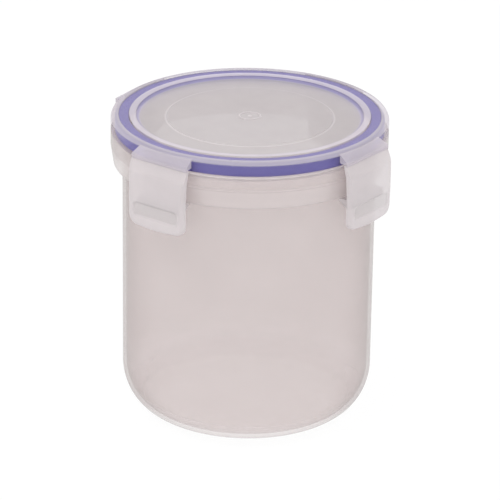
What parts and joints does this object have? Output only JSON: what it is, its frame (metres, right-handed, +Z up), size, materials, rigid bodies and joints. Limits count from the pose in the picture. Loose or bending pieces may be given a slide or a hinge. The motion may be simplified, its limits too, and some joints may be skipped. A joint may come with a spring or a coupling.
{
  "type": "clip-lock storage canister",
  "caption": "Round translucent food canister with a push-on lid, a blue sealing ring and hinged flap clips that hook under the cup's collar.",
  "frame": {"origin": "centre of the base, on the canister's axis", "axes": "+Z up the canister's axis, from the base to the lid; -Y towards the front clip"},
  "size_m": [0.1266, 0.1266, 0.131],
  "materials": {
    "cup_plastic": "clear to slightly milky moulded polypropylene, glossy outside",
    "lid_plastic": "slightly milky moulded polypropylene with a satin panel",
    "clip_plastic": "milky moulded polypropylene, satin",
    "ring_silicone": "smooth blue-violet silicone"
  },
  "bodies": {
    "cup": {"canister_body": "cup_plastic"},
    "lid_group": {"lid": "lid_plastic", "sealing_ring": "ring_silicone"},
    "front_web": {"hinge_web_front": "lid_plastic"},
    "front_clip": {"clip_front": "clip_plastic"},
    "right_web": {"hinge_web_right": "lid_plastic"},
    "right_clip": {"clip_right": "clip_plastic"},
    "back_web": {"hinge_web_back": "lid_plastic"},
    "back_clip": {"clip_back": "clip_plastic"},
    "left_web": {"hinge_web_left": "lid_plastic"},
    "left_clip": {"clip_left": "clip_plastic"}
  },
  "joints": [
    {"name": "lid_lift", "type": "slide", "parent": "cup", "child": "lid_group", "axis": [0, 0, 1], "range_m": [0, 0.02]},
    {"name": "front_web_bend", "type": "hinge", "parent": "lid_group", "child": "front_web", "pos_m": [0, -0.06045, 0.1268], "axis": [-1, 0, 0], "range_deg": [0, 90]},
    {"name": "front_clip_open", "type": "hinge", "parent": "front_web", "child": "front_clip", "pos_m": [0, -0.06045, 0.1261], "axis": [-1, 0, 0], "range_deg": [0, 100]},
    {"name": "right_web_bend", "type": "hinge", "parent": "lid_group", "child": "right_web", "pos_m": [0.06045, 0, 0.1268], "axis": [0, -1, 0], "range_deg": [0, 90]},
    {"name": "right_clip_open", "type": "hinge", "parent": "right_web", "child": "right_clip", "pos_m": [0.06045, 0, 0.1261], "axis": [0, -1, 0], "range_deg": [0, 100]},
    {"name": "back_web_bend", "type": "hinge", "parent": "lid_group", "child": "back_web", "pos_m": [0, 0.06045, 0.1268], "axis": [1, 0, 0], "range_deg": [0, 90]},
    {"name": "back_clip_open", "type": "hinge", "parent": "back_web", "child": "back_clip", "pos_m": [0, 0.06045, 0.1261], "axis": [1, 0, 0], "range_deg": [0, 100]},
    {"name": "left_web_bend", "type": "hinge", "parent": "lid_group", "child": "left_web", "pos_m": [-0.06045, 0, 0.1268], "axis": [0, 1, 0], "range_deg": [0, 90]},
    {"name": "left_clip_open", "type": "hinge", "parent": "left_web", "child": "left_clip", "pos_m": [-0.06045, 0, 0.1261], "axis": [0, 1, 0], "range_deg": [0, 100]}
  ],
  "couplings": [
    {"joint": "front_web_bend", "follows": "lid_lift", "rad_per_m": 78.5},
    {"joint": "right_web_bend", "follows": "lid_lift", "rad_per_m": 78.5},
    {"joint": "back_web_bend", "follows": "lid_lift", "rad_per_m": 78.5},
    {"joint": "left_web_bend", "follows": "lid_lift", "rad_per_m": 78.5}
  ]
}
